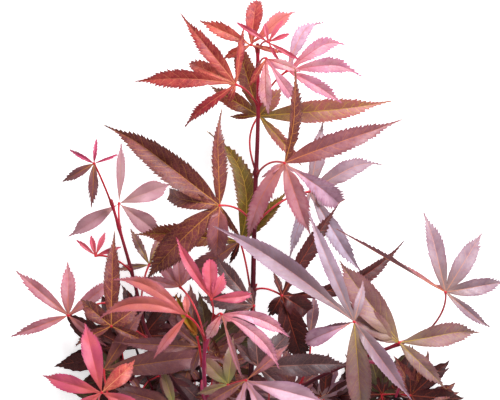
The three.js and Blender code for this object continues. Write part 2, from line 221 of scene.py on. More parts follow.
class Skins:
    """Closed skins gathered for one mesh: corners, faces, finishes, and two vectors per corner."""

    def __init__(self):
        """Nothing gathered yet."""
        self.corners, self.faces, self.finishes, self.lie, self.spot = [], [], [], [], []
        self.count = 0

    def add(self, rings, foot, tip, finish=0, lie=None, spot=None):
        """Adds the skin over rings (n x m x 3), closed by the points foot and tip.

        Going round a ring with the path pointing away from the viewer is anticlockwise, so each quad
        runs along the path first and round the ring second, and faces outwards."""
        n, m = rings.shape[:2]
        corner = np.arange(n * m).reshape(n, m)
        after = np.roll(corner, -1, axis=1)
        quads = np.stack([corner[:-1], corner[1:], after[1:], after[:-1]], axis=-1).reshape(-1, 4)
        first = np.stack([np.full(m, n * m), corner[0], after[0]], axis=-1)
        last = np.stack([np.full(m, n * m + 1), after[-1], corner[-1]], axis=-1)
        self.corners.append(np.vstack([rings.reshape(-1, 3), foot, tip]))
        for faces in (quads, first, last):
            self.faces.append(faces + self.count)
            self.finishes.append(np.full(len(faces), finish))
        self.count += n * m + 2
        for kept, given in ((self.lie, lie), (self.spot, spot)):
            given = np.zeros((n, m, 3)) if given is None else given
            kept.append(np.vstack([given.reshape(-1, 3), given[0].mean(0), given[-1].mean(0)]))

    def mesh(self, name):
        """The Blender mesh of all the skins."""
        mesh = bpy.data.meshes.new(name)
        corners = np.vstack(self.corners)
        sizes = np.concatenate([np.full(len(faces), faces.shape[1]) for faces in self.faces])
        mesh.vertices.add(len(corners))
        mesh.vertices.foreach_set("co", corners.ravel())
        mesh.loops.add(int(sizes.sum()))
        mesh.loops.foreach_set("vertex_index", np.concatenate([f.ravel() for f in self.faces]))
        mesh.polygons.add(len(sizes))
        mesh.polygons.foreach_set("loop_start", np.concatenate([[0], np.cumsum(sizes)[:-1]]))
        mesh.polygons.foreach_set("material_index", np.concatenate(self.finishes).astype(np.int32))
        for field, values in (("lie", self.lie), ("spot", self.spot)):
            layer = mesh.attributes.new(field, "FLOAT_VECTOR", "POINT")
            layer.data.foreach_set("vector", np.vstack(values).ravel())
        mesh.update(calc_edges=True)
        mesh.validate()
        mesh.shade_smooth()
        mesh.set_sharp_from_angle(angle=radians(SHARP))
        return mesh


def placed(name, data):
    """Puts an object that shows the data into the scene."""
    made = bpy.data.objects.new(name, data)
    bpy.context.scene.collection.objects.link(made)
    return made


def piece(name, skins, materials, nodes=()):
    """Puts the skins into the scene as one piece that rides with the branch."""
    shape = placed(name, skins.mesh(name))
    for material in materials:
        shape.data.materials.append(material)
    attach(shape, "root")
    if nodes:
        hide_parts(*nodes)


def tube(path, radii, sides, around=None):
    """Rings of a round tube: path point + radius x (cos a x N + sin a x B), with a round the circle.

    N is square to the path and to a fixed direction, and B to both. around, if given, multiplies the
    radius at each ring and each angle."""
    along = unit(np.gradient(path, axis=0))
    fixed = np.eye(3)[np.argmin(np.abs(along).max(0))]
    n = unit(np.cross(along, fixed))
    b = np.cross(n, along)
    angle = np.linspace(0, 2 * pi, sides, endpoint=False)
    reach = radii[:, None] * (1 if around is None else around)
    turned = np.cos(angle)[:, None] * n[:, None] + np.sin(angle)[:, None] * b[:, None]
    return path[:, None] + reach[..., None] * turned


def at(coefficients, t, rate=False):
    """A polynomial course, or its rate of change, at each t: the sum of coefficients x powers of t."""
    if rate:
        coefficients = coefficients[1:] * np.arange(1, len(coefficients))[:, None]
    return np.power.outer(t, np.arange(len(coefficients))) @ coefficients


def point(coefficients, t):
    """The place on a polynomial course at a single t."""
    return at(coefficients, np.array([t]))[0]

# %% [markdown]
# ## The blade of a leaf
#
# A lobe is a thin skin whose rings are flat loops: over the upper face from the right margin to the
# left, and back underneath. Its outline swells to about the middle and runs out to a long fine tip.
# The margin has forward-pointing teeth, each a long rise and a short step back, and the teeth of the
# two margins are staggered. The halves rise from the midrib like an open book, swell a little and
# ripple. Near the hub neighbouring lobes are one blade: both margins follow the line midway between
# the two midribs, as far as the notch where they part.

# %% The shape of a lobe
ACROSS = np.array([-1, -0.88, -0.66, -0.4, -0.17, -0.05, 0, 0.05, 0.17, 0.4, 0.66, 0.88, 1])
ACROSS_FEW = np.array([-1.0, 0, 1])
BLADE_THICKNESS = 0.24 * MM
RIDGE = 0.3 * MM  # how far the midrib stands out below, at the hub
TAIL = 1.5 * MM  # half width of the tail that every tip runs out into, carried back to the hub
STRETCH = 1.03  # how much further than its solid a lobe's fine tip reaches
FIRST_RING, LAST_RING = 0.02, 0.98  # shares of the length
FIRST_TOOTH = 0.24  # share of the length where the toothed margin starts
STEPS = (0.5, 1.5)  # the shortest and the longest from notch to tooth, before they are fitted in
DEEPEST = 0.35  # that a tooth can be, in shares of the half width
LEAST_HALF = 0.12 * MM
RIPPLE = 0.13  # of the halves, in shares of their width
SWELL = 0.16  # four times how far a half bulges at its middle, in shares of its width
LEAN, LEAN_FEW = (1.15, -0.3), (0.3, -0.1)  # of a tooth and of a notch, in shares of a step
DRIP = 0.6  # share of the half width that a drawn-out tip loses

# For each kind of leaf: where along it a lobe is widest, how fine its tip is, the spacing and the
# depth of its teeth in mm, and how many degrees its halves rise.
HABIT_ROWS = {
    "coral": (0.48, 1.25, 2.4, 1.0, 18),
    "rose": (0.53, 1.25, 2.3, 0.95, 18),
    "magenta": (0.5, 1.3, 2.2, 0.4, 24),
    "burgundy": (0.42, 1.2, 2.6, 0.9, 24),
    "mauve": (0.44, 1.2, 2.6, 0.65, 24),
    "olive": (0.46, 1.2, 2.6, 0.85, 20),
    "dark": (0.47, 1.2, 2.5, 0.8, 18),
}
TRAIT_NAMES = ("peak", "fine", "pitch", "depth", "fold")
HABITS = {kind: dict(zip(TRAIT_NAMES, row)) for kind, row in HABIT_ROWS.items()}


def step(value, low, high):
    """0 where value is low, 1 where it is high, and x^2 (3 - 2x) between."""
    x = np.clip((value - low) / (high - low), 0, 1)
    return x * x * (3 - 2 * x)


def outline(s, peak, fine, drip):
    """The half width at share s of the length: sin(pi s^a)^fine, where a puts its 1 at the peak,
    and drip is the share of it that is lost on the way into the drawn-out tip."""
    return np.sin(pi * s ** (np.log(0.5) / np.log(peak))) ** fine * (1 - drip * step(s, 0.7, 0.93))


def add_lobe(skins, lobe, habit, rng, across, seams, finish=0):
    """One lobe's skin: rings along the midrib, each half as wide as the outline says, plus or minus
    0.7 of a tooth's depth. across gives the columns from margin to margin, and seams, for the right
    and the left, the line shared with the next lobe and how far from the hub it is shared. A habit
    may also give: wide, a factor on the width; long, one on the length; cut, the share of the outline
    after which the lobe ends torn; drip, the share of the width that the drawn-out tip loses; hook
    and bow, how far the tip and the middle bend to the left, in shares of the length; turn, how far
    the lobe turns about its midrib, in degrees. Teeth lean towards the tip, notches away from it."""
    rib = lobe["midrib"]
    length = np.linalg.norm(np.diff(at(rib, np.linspace(0, 1, 20)), axis=0), axis=1).sum()
    few = len(across) == len(ACROSS_FEW)
    least, coarse, smooth_rings = (3, 2, 3) if few else (4, 1, 9)
    teeth = max(least, int(length / (habit["pitch"] * MM * coarse)))
    base = np.linspace(FIRST_RING, FIRST_TOOTH, smooth_rings, endpoint=False)
    steps = np.cumsum(rng.uniform(*STEPS, 2 * teeth))
    steps = np.append(0, steps / steps[-1])
    s = np.concatenate([base, FIRST_TOOTH + (LAST_RING - FIRST_TOOTH) * steps])
    toothed = np.arange(len(s)) - len(base)

    # Half widths of the right and the left side, with a notch and a tooth by turns
    peak, fine = habit["peak"] + rng.normal(0, 0.02), habit["fine"] * rng.uniform(0.92, 1.1)
    drip = habit.get("drip", DRIP if habit["fine"] > 1 else 0)
    plain = lobe["half"] * habit.get("wide", 1) * outline(s * habit.get("cut", 1), peak, fine, drip)
    plain = np.hypot(plain, TAIL * s * np.sqrt(1 - s))
    depth = habit["depth"] * MM * min(1, length / (40 * MM)) * (0.3 + rng.random((2, len(s))) ** 1.5)
    depth = np.minimum(depth, DEEPEST * plain) * (toothed > 0)
    out = np.stack([toothed % 2 == 1, toothed % 2 == 0])
    half = np.maximum(plain + np.where(out, depth, -depth) * 0.7, LEAST_HALF)

    # The frame that is carried along the midrib, turning slowly about it
    stretch = habit.get("long", STRETCH) - 1
    middle = at(rib, s) + (stretch * s**3)[:, None] * at(rib, np.array([1.0]), rate=True)
    rate = at(rib, s, rate=True)
    along = unit(rate)
    sideways = unit(lobe["across"] - along * (along @ lobe["across"])[:, None])
    up = np.cross(along, sideways)
    angle = ((radians(habit.get("turn", 0)) + rng.normal(0, radians(6))) * step(s, 0, 0.8))[:, None]
    cosine, sine = np.cos(angle), np.sin(angle)
    sideways, up = cosine * sideways + sine * up, cosine * up - sine * sideways

    # The right and the left margin: the lobe's own one, and near the hub the shared line
    hook = habit.get("hook", 0) + rng.normal(0, 0.03)
    bend = hook * np.clip((s - 0.55) / 0.45, 0, 1) ** 2 + habit.get("bow", 0) * 4 * s * (1 - s)
    middle = middle + (bend * length)[:, None] * sideways
    fold = radians(habit["fold"]) * rng.uniform(0.7, 1.3)
    waves, phase = rng.uniform(1.6, 2.6), rng.uniform(0, 2 * pi, 2)
    margins = []
    for side, sign in enumerate((-1, 1)):
        ripple = RIPPLE * np.sin(2 * pi * waves * s + phase[side]) * step(s, 0, 0.4)
        lift = half[side] * (tan(fold) * step(s, -0.05, 0.3) + ripple)
        own = middle + sign * half[side][:, None] * sideways + lift[:, None] * up
        line, shared = seams[side]
        if shared > 0:
            run = s * length
            seam = point(rib, 0.0) + (run / (line @ along[0]))[:, None] * line
            own += (step(run, 1.5 * shared, shared) ** 2)[:, None] * (seam - own)
        margins.append(own)

    side = (across > 0).astype(int)
    share = np.abs(across)
    margin = np.array(margins)[side].transpose(1, 0, 2)
    wide = np.linalg.norm(margin - middle[:, None], axis=2)
    spread = middle[:, None] + share[:, None] * (margin - middle[:, None])
    spread = spread + (SWELL * share * (1 - share) * wide)[..., None] * up[:, None]
    rim = np.clip((share - 0.6) / 0.4, 0, 1) ** 2
    lean = np.where(out[side].T, *(LEAN_FEW if few else LEAN))
    push = (s[-1] - s[-2]) * rim * lean * (toothed > 0)[:, None]
    spread = spread + push[..., None] * rate[:, None]
    thick = 0.5 * BLADE_THICKNESS * (1 - 0.55 * share**4)[None, :, None] * up[:, None]
    ridge = (RIDGE * (1 - s))[:, None, None] * (share == 0)[None, :, None] * up[:, None]
    rings = np.concatenate([spread + thick, (spread - thick - ridge)[:, ::-1]], axis=1)

    # Millimetres along and across, and the half width; then shares of length and width, and the side
    sign = np.where(across > 0, 1, -1)
    face = np.stack([s[:, None] * length + push * length, sign * share * wide, wide], axis=-1) / MM
    lie = np.concatenate([face, face[:, ::-1]], axis=1)
    upper = np.stack([s[:, None] + 0 * wide, share + 0 * wide, 0 * wide + rng.random()], axis=-1)
    under = upper[:, ::-1] + [2, 0, 0]
    spot = np.concatenate([upper, under], axis=1)
    tip = middle[-1] + (1 - s[-1]) * 1.2 * rate[-1]
    skins.add(rings, point(rib, 0.0), tip, finish, lie, spot)


JOINED = 0.13  # share of the length over which neighbouring lobes are one blade
CLOSE, FAR = radians(34), radians(66)


def seams_of(lobes):
    """For each lobe, right and left: the line midway to its neighbour, and how far it is shared: in
    full with a neighbour that is close, less the wider they are apart, and not at all when far."""
    ribs = [lobe["midrib"] for lobe in lobes]
    starts = [unit(point(rib, 0.12) - rib[0]) for rib in ribs]
    sizes = [np.linalg.norm(point(rib, 1.0) - rib[0]) for rib in ribs]
    seams = []
    for i, start in enumerate(starts):
        pair = []
        for j in (i - 1, (i + 1) % len(lobes)):
            apart = np.arccos(np.clip(start @ starts[j], -1, 1))
            shared = JOINED * (sizes[i] + sizes[j]) / 2 * (1 - step(apart, CLOSE, FAR))
            pair.append((unit(start + starts[j]), shared))
        seams.append(pair)
    return seams

# %% [markdown]
# ## Stalks
#
# A leaf stalk is a thin round rod. It swells where it clasps the stem, is thinnest in the middle,
# and widens again into the hub. Its course comes from the solid, whose foot stops just short of the
# stem, so the rod starts a little further in, on the nearest stem's own axis.

# %% The shape of a stalk
def add_stalk(skins, course, root, radius, finish, sides=10, rows=18):
    """A rod along the polynomial course from t = 0 to 1, with one ring more at root, inside the stem.

    Its radius is radius x (1 + 0.9 exp(-t/0.05) + 0.5 exp((t-1)/0.04))."""
    t = np.concatenate([np.linspace(0, 0.12, 5)[:-1], np.linspace(0.12, 1, rows - 4)])
    path = np.vstack([root, at(course, t)])
    t = np.concatenate([[-0.02], t])
    radii = radius * (1 + 0.9 * np.exp(-np.maximum(t, 0) / 0.05) + 0.5 * np.exp((t - 1) / 0.04))
    rings = tube(path, radii, sides)
    spot = np.zeros((len(t), sides, 3))
    spot[..., 0] = t[:, None]
    ahead = unit(path[-1] - path[-2])
    skins.add(rings, path[0], path[-1] + ahead * radius, finish, spot=spot)


def add_knot(skins, hub, radius, finish, sides=10, rows=7):
    """The knot where the lobes meet: a ball, flattened to half its height."""
    t = np.linspace(-1, 1, rows + 2)[1:-1]
    path = hub + np.outer(t * 0.5 * radius, [0, 0, 1])
    spot = np.ones((rows, sides, 3))
    skins.add(tube(path, radius * np.sqrt(1 - t**2), sides), path[0] - [0, 0, 0.1 * radius],
              path[-1] + [0, 0, 0.1 * radius], finish, spot=spot)

# %% [markdown]
# ## Stems
#
# A stem's solid is a row of rings. Their centres and radii give its course and taper, and a smooth
# curve through the centres carries many more, finer rings.

# %% Read the stems
def read_limb(node):
    """The centres and radii of a stem's rings, from its foot to its tip."""
    points, near = net_of(node)
    caps = [corner for corner, around in enumerate(near) if len(around) == 8]
    rings = points[np.array(rings_from(caps[0], near, 8))]
    centres = rings.mean(1)
    radii = np.linalg.norm(rings - centres[:, None], axis=2).mean(1)
    if radii[0] < radii[-1]:
        centres, radii = centres[::-1], radii[::-1]
    return {"name": node, "centres": centres, "radii": radii}


def curve(points, count):
    """count points along the smooth curve through the given ones, each pair joined by the cubic
    whose slopes at its ends are half the step between that point's neighbours (Catmull-Rom)."""
    slope = np.gradient(points, axis=0)
    t = np.linspace(0, len(points) - 1, count)
    i = np.minimum(t.astype(int), len(points) - 2)
    f = (t - i)[:, None]
    a, b = points[i], points[i + 1]
    rise = 3 * f**2 - 2 * f**3
    return a + (b - a) * rise + slope[i] * (f**3 - 2 * f**2 + f) + slope[i + 1] * (f**3 - f**2)


STEM_STEP = 0.9 * MM
limbs = {}
for node in LIMB_NODES:
    limb = read_limb(node)
    size = np.linalg.norm(np.diff(limb["centres"], axis=0), axis=1).sum()
    count = int(size / STEM_STEP)
    limb["path"] = curve(limb["centres"], count)
    radii = limb["radii"]
    limb["taper"] = np.interp(np.linspace(0, 1, count), np.linspace(0, 1, len(radii)), radii)
    limbs[node] = limb
lengths = {name: round(len(limb["path"]) * STEM_STEP / MM) for name, limb in limbs.items()}
print("stems read:", lengths, "mm")


def nearest(point):
    """The stem, and the place along it, that lie nearest to a point."""
    def gap(name):
        """How far the point is from the bark: its distance from the path less the radius there."""
        return (np.linalg.norm(limbs[name]["path"] - point, axis=1) - limbs[name]["taper"]).min()
    name = min(limbs, key=gap)
    return limbs[name], int(np.linalg.norm(limbs[name]["path"] - point, axis=1).argmin())

# %% [markdown]
# ## Leaf colour
#
# A maple blade is coloured in layers. Over the ground colour lie soft blotches of a second one, a
# redder margin, fine side veins that leave the midrib at a slant, and the bright midrib itself. The
# underside is paler. All of it follows the blade, so the finish reads the two vectors that every
# corner carries: millimetres along and across, and the shares of the length and the width.

# %% A short way to write a finish
def linear(colour):
    """An sRGB colour written as six hex digits, as the linear RGBA that Blender works in."""
    c = np.array([int(colour[i : i + 2], 16) / 255 for i in (0, 2, 4)])
    c = np.where(c <= 0.04045, c / 12.92, ((c + 0.055) / 1.055) ** 2.4)
    return (*c.tolist(), 1.0)


class Finish:
    """A material under way. Each method adds one node and returns its result."""

    def __init__(self, name, shine=0.5):
        """A material of the given name, whose surface mirrors light as strongly as shine says."""
        self.material = bpy.data.materials.new(name)
        self.material.use_nodes = True
        self.tree = self.material.node_tree
        self.shader = self.tree.nodes["Principled BSDF"]
        self.shader.inputs["Specular IOR Level"].default_value = shine

    def node(self, kind, inputs=(), **settings):
        """A node with its settings, and a value or another node's result at each input."""
        made = self.tree.nodes.new("ShaderNode" + kind)
        for key, value in settings.items():
            setattr(made, key, value)
        for key, value in dict(inputs).items():
            self.give(made.inputs[key], value)
        return made

    def give(self, socket, value):
        """Joins a node's result to the socket, or sets the socket to a plain value."""
        if isinstance(value, bpy.types.NodeSocket):
            self.tree.links.new(value, socket)
        else:
            socket.default_value = value

    def math(self, operation, a, b=0.0):
        """The result of an operation on a and b."""
        return self.node("Math", {0: a, 1: b}, operation=operation).outputs[0]

    def times(self, a, b):
        """a x b"""
        return self.math("MULTIPLY", a, b)

    def plus(self, a, b):
        """a + b"""
        return self.math("ADD", a, b)

    def less(self, a, b):
        """a - b"""
        return self.math("SUBTRACT", a, b)

    def step(self, value, low, high):
        """0 where value is low, 1 where it is high, and a smooth rise between."""
        given = {"Value": value, "From Min": low, "From Max": high}
        return self.node("MapRange", given, interpolation_type="SMOOTHSTEP").outputs["Result"]

    def mix(self, amount, a, b):
        """Colour a where the amount is 0 and colour b where it is 1: a + amount x (b - a)."""
        given = {"Factor": amount, 6: linear(a) if isinstance(a, str) else a, 7: linear(b)}
        return self.node("Mix", given, data_type="RGBA").outputs[2]

    def cover(self, colour, where, share, top):
        """The colour, with the top one laid over it by where x share."""
        return self.mix(self.times(where, share), colour, top)

    def parts(self, field):
        """The three numbers of one of the vectors that the corners carry."""
        read = self.node("Attribute", attribute_name=field).outputs["Vector"]
        return self.node("SeparateXYZ", {0: read}).outputs

    def place(self):
        """The place on the piece, in metres."""
        return self.node("TexCoord").outputs["Object"]

    def noise(self, scale, detail=2.0, place=None):
        """Smooth chance from 0 to 1, with about scale bumps to the metre."""
        given = {"Vector": place or self.place(), "Scale": scale, "Detail": detail}
        return self.node("TexNoise", given).outputs[0]

    def done(self, colour, rough, height, depth):
        """Joins colour, roughness and relief to the shader. depth is the relief's, in metres."""
        bump = self.node("Bump", {"Height": height, "Distance": depth, "Strength": 1.0})
        given = {"Base Color": colour, "Roughness": rough, "Normal": bump.outputs[0]}
        for socket, value in given.items():
            self.give(self.shader.inputs[socket], value)
        return self.material

# %% The finish of a blade
VEIN_PITCH = 4.6  # mm between side veins, about
MIDRIB = 0.24  # mm, half the midrib's width at its foot
BLADE_RELIEF = 0.00022  # m


def blade(name, ground, blotch, vein, margin, foot, under, clear, shine):
    """The finish of one kind of leaf: six colours, how clear its veins are, how much it shines."""
    f = Finish(name, shine)
    run, w, _ = f.parts("lie")
    spot, share, mood = f.parts("spot")
    below = f.math("GREATER_THAN", spot, 1.5)
    s = f.less(spot, f.times(below, 2.0))
    off = f.math("ABSOLUTE", w)

    # Side veins: lines of equal run - 0.7 off - 0.09 off^2, staggered on the two sides
    wander = f.times(f.noise(95.0), 5.0)
    slant = f.plus(f.times(off, 0.7), f.times(f.times(off, off), 0.09))
    line = f.plus(f.less(run, slant), wander)
    line = f.plus(line, f.times(f.math("GREATER_THAN", w, 0.0), VEIN_PITCH / 2))
    wave = f.math("FRACT", f.math("DIVIDE", line, VEIN_PITCH))
    wave = f.math("ABSOLUTE", f.less(wave, 0.5))
    side_vein = f.times(f.step(wave, 0.05, 0.01), f.step(share, 1.0, 0.5))
    side_vein = f.times(side_vein, f.step(f.noise(130.0), 0.3, 0.6))
    net = f.node("TexVoronoi", {"Vector": f.place(), "Scale": 620.0}, feature="DISTANCE_TO_EDGE")
    net = f.step(net.outputs[0], 0.09, 0.02)
    width = f.times(f.less(1.1, s), MIDRIB)
    midrib = f.step(off, f.times(width, 1.5), f.times(width, 0.55))

    patches = f.plus(f.noise(75.0, 4.0), f.times(mood, 0.35))
    colour = f.mix(f.step(patches, 0.38, 0.72), ground, blotch)
    mottle = f.step(f.noise(330.0, 5.0), 0.42, 0.72)
    colour = f.cover(colour, mottle, 0.42 * clear, margin)
    colour = f.cover(colour, f.step(share, 0.6, 1.0), 0.55, margin)
    colour = f.cover(colour, f.step(s, 0.78, 1.0), 0.5, margin)
    colour = f.cover(colour, f.step(s, 0.45, 0.0), 0.8, foot)
    colour = f.cover(colour, below, 0.65, under)
    faint = f.plus(f.times(side_vein, 0.7 * clear), f.times(net, 0.17 * clear))
    colour = f.mix(faint, colour, vein)
    colour = f.cover(colour, midrib, 0.85, vein)

    quilt = f.times(f.step(wave, 0.0, 0.45), 0.18)
    height = f.less(f.plus(quilt, f.times(midrib, 0.4)), f.times(net, 0.15))
    grain = f.times(f.noise(1500.0), 0.25)
    sheen = f.plus(f.times(f.noise(220.0, 3.0), 0.16), 0.34)
    return f.done(colour, sheen, f.plus(height, grain), BLADE_RELIEF)


# Each kind: ground, blotches, veins, margin, foot, underside; how clear the veins are; the shine
BLADE_ROWS = {
    "coral": ("ba4042 cc5c4f dc8a62 88182e b04438 b85450", 1.6, 0.35),
    "scarlet": ("9e2f3a b2403e d87c5a 780e2a ac4436 a84450", 1.6, 0.35),
    "crimson": ("9b2936 aa323b cf6a50 6c0c26 a4342c a04048", 1.6, 0.35),
    "rose": ("d8acc2 cc8c98 c05a66 c06a98 c8605c dca8b8", 1.2, 0.35),
    # petal: a paler copy of rose, partly the pale pink of these leaves and partly painted light for
    # leaves that lie in shade
    "petal": ("f0c0c4 dc9490 b84a48 d07c9c cc5a54 e0b0b4", 1.3, 0.35),
    "blush": ("f4c0d4 eca0ac c05c68 c4709c cc6060 e0a8b8", 1.2, 0.35),
    "lilac": ("cca0b4 d4a8b8 c8847c a87094 b87480 d0b0c0", 0.6, 0.4),
    "salmon": ("bc3650 c85c6c c04a44 b83464 b83038 c86470", 0.5, 0.35),
    "peach": ("c44e6d cc5a66 b84a44 b83c70 c04a3c cc7480", 0.4, 0.35),
    "shell": ("cc7c84 cc6c60 b84e48 b4607c c45048 d08890", 0.5, 0.35),
    "magenta": ("b42a54 c44c70 a82848 a01c58 b43448 c06088", 0.4, 0.4),
    "burgundy": ("5a1e1e 824044 cc8640 4c181e 743430 684048", 1.3, 0.32),
    "wine": ("844248 9c6068 cf7a48 6a2036 8a3c34 8c5c66", 1.0, 0.45),
    "dusk": ("b86c74 c0808a c87058 a44460 a05850 a07078", 0.9, 0.45),
    "orchid": ("c694ae caa0b6 cf8068 94486c ac6c6c b89098", 1.0, 0.45),
    "mauve": ("88606c 785662 bf7c60 703a4c 8a6a64 8a6872", 0.8, 0.5),
    "grey": ("ac949e a08490 cf9078 7f5064 9a7c74 9a8490", 0.9, 0.5),
    # The look in this row is a paler, bluer copy of grey: painted light for right_grey's -108 and -61
    # lobes, which lie partly in shade
    "haze": ("d0c2d4 c0aec2 d09488 90687c a88c8c b09cac", 0.8, 0.5),
    "ash": ("b49cae 947480 c08478 a8849c 8c7470 a890a0", 0.7, 0.55),
    "umber": ("784246 865056 b8743a 6a3040 7c4a3c 765660", 0.8, 0.45),
    "slate": ("6d4649 523a3e a86c5c 50262e 5c3c3a 5a464e", 0.9, 0.5),
    "bronze": ("8f7070 9a6c70 c09a3c 844850 8c7458 94747a", 1.0, 0.45),
    "olive": ("7a4424 6e5a1e bf9a30 6c2022 6f661e 7c6440", 1.2, 0.35),
    "russet": ("74302a 7e382e c89c34 80242c 66522a 84604a", 1.2, 0.35),
    # tan: russet made lighter for olive_behind's lobes that catch more light, so its lightness is
    # partly painted light; its greener foot and yellower veins are the lobes' own colour
    "tan": ("9c6c4a a8665c d0a83c b0505e 747028 9a7852", 1.4, 0.35),
    "faded": ("c08c96 b48a8c c49088 a86a7c b08880 b49094", 0.4, 0.4),
    "garnet": ("562828 4b2728 a44a34 5c1826 4c1c1c 443038", 0.8, 0.35),
    "dark": ("421e1f 381a1a 94402a 40121a 4c1618 301618", 0.8, 0.2),
    "sage": ("907c62 96765e b4a050 94686c 8c9850 9c9078", 0.5, 0.3),
    "moss": ("443c22 4a3424 7c6a30 4a1c1c 3a3c18 3c3c28", 0.6, 0.3),
    "sprout": ("8c9828 9c8628 cc8a3c c8502c c45a3c cc7038", 0.3, 0.35),
}
BLADES = {}
for kind, (colours, clear, shine) in BLADE_ROWS.items():
    BLADES[kind] = blade(kind + "_blade", *colours.split(), clear, shine)
print(len(BLADES), "kinds of blade")

# %% The finish of stalks, bark and buds
def stalk_finish(name, foot, tip, rough):
    """Red stalk: darker where it leaves the stem, brighter towards the leaf, with fine long flecks."""
    f = Finish(name)
    share = f.parts("spot")[0]
    flecks = f.times(f.noise(500.0), 0.5)
    colour = f.mix(f.step(f.plus(share, flecks), 0.1, 0.8), foot, tip)
    return f.done(colour, rough, f.noise(1200.0), 0.00005)


BARK_SHINE = 0.25


def bark_finish(name, old, young, tip, fleck, scar, rough):
    """Smooth young bark: streaks along the stem, a redder tip, pale breathing pores, and a dark ring
    at each node."""
    f = Finish(name, BARK_SHINE)
    share, pore, ring = f.parts("spot")
    lie = f.node("Attribute", attribute_name="lie").outputs["Vector"]
    lie = f.node("Mapping", {"Vector": lie, "Scale": (0.9, 0.9, 0.09)}).outputs[0]
    streak = f.noise(1.0, 4.0, lie)
    tone = f.plus(share, f.times(f.less(streak, 0.5), 0.9))
    colour = f.mix(f.step(tone, 0.1, 0.95), old, young)
    colour = f.mix(f.step(share, 0.78, 0.92), colour, tip)
    colour = f.cover(colour, pore, 0.75, fleck)
    colour = f.cover(colour, ring, 0.6, scar)
    gloss = f.plus(f.times(streak, 0.2), rough - 0.1)
    return f.done(colour, gloss, streak, 0.00012)


STALK = stalk_finish("stalk_red", "86101f", "cc1c2e", 0.4)
BARK = bark_finish("bark_purple", "22070f", "6e1226", "a81c36", "843c44", "180508", 0.45)
YOUNG_BARK = bark_finish("bark_crimson", "8c2040", "a83058", "b83454", "c48088", "5a1430", 0.42)
BUD = stalk_finish("bud_red", "4a0f1c", "8f2430", 0.34)
print(len(bpy.data.materials), "finishes")

# %% [markdown]
# ## The leaves of the frame
#
# Each leaf replaces its own solid. A lobe's halves rise from its midrib by about 18 degrees on coral,
# rose and dark leaves, and by 20 to 24 on the others, unless the leaf has a fold of its own. A small
# knob where the lobes meet stands for the swelling at the head of the stalk.

# %% What sets single leaves and lobes apart
# A leaf may be coloured unlike the others of its kind, and all its lobes may share a trait. A lobe
# is named by its heading, in degrees from +X towards +Y. A single number is a lobe's width, and a
# single word its look.
SAME_HEADING = 11  # degrees, how near to its name a lobe's heading has to be
LOOKS = {
    "left_red": "scarlet", "front_top": "salmon", "front_left": "shell", "corner": "peach",
    # front_rose takes the petal look, lighter than rose; the extra lightness is painted light for a
    # leaf in shade
    "front_low": "lilac", "front_middle": "blush", "front_rose": "petal", "right_hand": "wine",
    "right_grey": "grey", "right_front": "ash", "front_across": "umber", "left_edge": "dusk",
    "right_olive": "bronze", "olive_behind": "russet", "left_top": "umber", "left_fan": "dusk",
    "left_far": "faded", "low_right": "slate", "far_right": "grey", "mid_left": "slate",
    "left_low": "umber", "low_green": "sage", "low_middle": "umber", "young_green": "sprout",
    "right_dark": "garnet", "left_olive": "bronze", "tip_tuft": "salmon", "left_tuft": "salmon",
}
TRAITS = {
    "right_front": {"depth": 0.35}, "front_across": {"depth": 0.25}, "front_left": {"depth": 0.3},
    "front_middle": {"depth": 0.3, "fold": 24}, "front_low": {"depth": 0.3, "fold": 22},
    "front_top": {"depth": 0.3, "fold": 26}, "right_hand": {"wide": 0.85},
    "tip_tuft": {"fine": 1.0, "wide": 0.8}, "left_far": {"depth": 0.2}, "corner": {"depth": 0.3},
    "left_low": {"depth": 0.3}, "low_green": {"depth": 0.2}, "low_middle": {"depth": 0.2},
    "young_green": {"depth": 0.1, "fold": 50}, "low_right": {"depth": 0.5},
    "right_olive": {"depth": 0.6, "fold": 22}, "left_upright": {"depth": 0.5},
    "mid_left": {"depth": 0.7}, "side_right": {"depth": 0.5},
}
